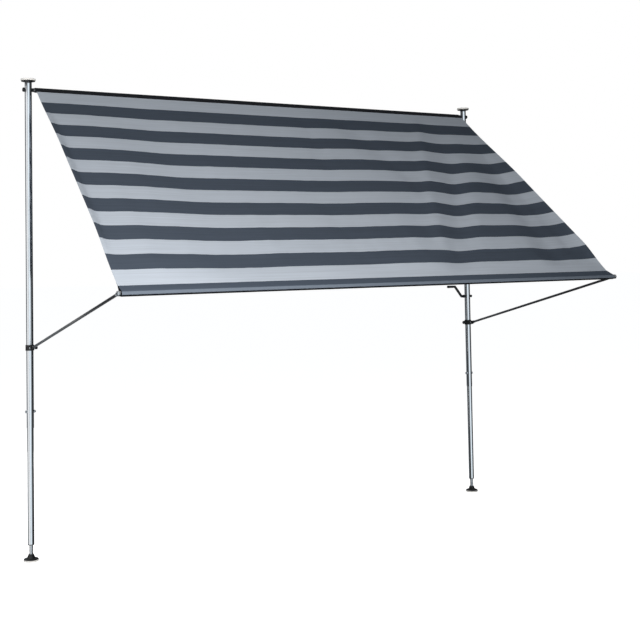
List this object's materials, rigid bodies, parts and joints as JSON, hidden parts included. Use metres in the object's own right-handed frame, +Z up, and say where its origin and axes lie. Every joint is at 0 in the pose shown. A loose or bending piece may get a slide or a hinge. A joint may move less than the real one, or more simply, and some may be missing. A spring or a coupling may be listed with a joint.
{
  "type": "clamp awning",
  "caption": "Free-standing clamp awning: telescopic steel posts jammed between floor and ceiling, roller with striped cloth, swinging arms with a front bar, and a crank.",
  "frame": {"origin": "middle of the underside of the left foot's sole, on the floor", "axes": "+X along the roller to the right post, -Y outwards under the cloth, +Z up along the posts"},
  "size_m": [3.081, 1.4099, 2.6],
  "materials": {
    "zinc_tube": "bright zinc plated",
    "bright_steel": "bright zinc plated",
    "black_plastic": "satin moulded",
    "pale_rubber": "matt",
    "arm_paint": "satin dark grey",
    "bar_paint": "satin grey",
    "crank_paint": "satin black",
    "grip_plastic": "matt",
    "white_plastic": "plain",
    "awning_cloth": "woven grey block stripes"
  },
  "bodies": {
    "frame": {"left_upper_tube": "zinc_tube", "right_upper_tube": "zinc_tube", "left_lower_tube": "zinc_tube", "right_lower_tube": "zinc_tube", "left_height_bolt": "bright_steel", "left_height_nut": "bright_steel", "left_arm_rivet": "bright_steel", "right_height_bolt": "bright_steel", "right_height_nut": "bright_steel", "right_arm_rivet": "bright_steel", "left_top_plate": "black_plastic", "left_spindle_nut": "black_plastic", "left_clamp": "black_plastic", "left_roller_bush": "black_plastic", "right_top_plate": "black_plastic", "right_spindle_nut": "black_plastic", "right_clamp": "black_plastic", "right_roller_bush": "black_plastic", "crank_bush": "black_plastic", "left_top_pad": "pale_rubber", "right_top_pad": "pale_rubber", "cloth": "awning_cloth"},
    "left_screw_foot": {"left_spindle": "bright_steel", "left_foot": "black_plastic", "left_foot_sole": "pale_rubber"},
    "right_screw_foot": {"right_spindle": "bright_steel", "right_foot": "black_plastic", "right_foot_sole": "pale_rubber"},
    "left_clamp_screw": {"left_clamp_knob": "black_plastic"},
    "right_clamp_screw": {"right_clamp_knob": "black_plastic"},
    "arm_frame": {"left_arm": "arm_paint", "left_arm_knuckle": "black_plastic", "left_arm_eye": "bright_steel", "right_arm": "arm_paint", "right_arm_knuckle": "black_plastic", "right_arm_eye": "bright_steel"},
    "front_bar_assembly": {"front_bar": "bar_paint", "left_bar_plug": "black_plastic", "left_bar_clip": "bright_steel", "right_bar_plug": "black_plastic", "right_bar_clip": "bright_steel"},
    "roller": {"roller_tube": "arm_paint", "roller_pulley": "white_plastic", "left_roller_plug": "black_plastic", "left_axle_knob": "black_plastic", "right_roller_plug": "black_plastic", "right_axle_knob": "black_plastic"},
    "crank": {"crank_rod": "crank_paint", "crank_hub": "black_plastic", "crank_cap": "black_plastic", "crank_pulley": "white_plastic"},
    "crank_handle": {"crank_grip": "grip_plastic"}
  },
  "joints": [
    {"name": "arm_swing", "type": "hinge", "parent": "frame", "child": "arm_frame", "pos_m": [0, -0.04, 1.138], "axis": [-1, 0, 0], "range_deg": [0, 72], "deforming": ["cloth"]},
    {"name": "bar_turn", "type": "hinge", "parent": "arm_frame", "child": "front_bar_assembly", "pos_m": [0, -1.35484, 1.45707], "axis": [1, 0, 0], "range_deg": [0, 54]},
    {"name": "roller_turn", "type": "hinge", "parent": "frame", "child": "roller", "pos_m": [0, 0, 2.54], "axis": [-1, 0, 0], "range_deg": [0, 5600]},
    {"name": "crank_turn", "type": "hinge", "parent": "frame", "child": "crank", "pos_m": [3, 0, 1.315], "axis": [-1, 0, 0], "range_deg": [0, 5600]},
    {"name": "grip_spin", "type": "hinge", "parent": "crank", "child": "crank_handle", "pos_m": [2.865, 0, 1.382], "axis": [1, 0, 0], "continuous": true},
    {"name": "left_foot_screw", "type": "slide", "parent": "frame", "child": "left_screw_foot", "axis": [0, 0, -1], "range_m": [-0.04, 0.05]},
    {"name": "right_foot_screw", "type": "slide", "parent": "frame", "child": "right_screw_foot", "axis": [0, 0, -1], "range_m": [-0.04, 0.05]},
    {"name": "left_knob_turn", "type": "hinge", "parent": "frame", "child": "left_clamp_screw", "pos_m": [0, 0, 1.138], "axis": [1, 0, 0], "range_deg": [0, 720]},
    {"name": "right_knob_turn", "type": "hinge", "parent": "frame", "child": "right_clamp_screw", "pos_m": [3, 0, 1.138], "axis": [-1, 0, 0], "range_deg": [0, 720]}
  ],
  "couplings": [
    {"joint": "bar_turn", "follows": "arm_swing", "ratio": 0.746},
    {"joint": "roller_turn", "follows": "arm_swing", "ratio": 77.7},
    {"joint": "crank_turn", "follows": "arm_swing", "ratio": 77.7}
  ]
}
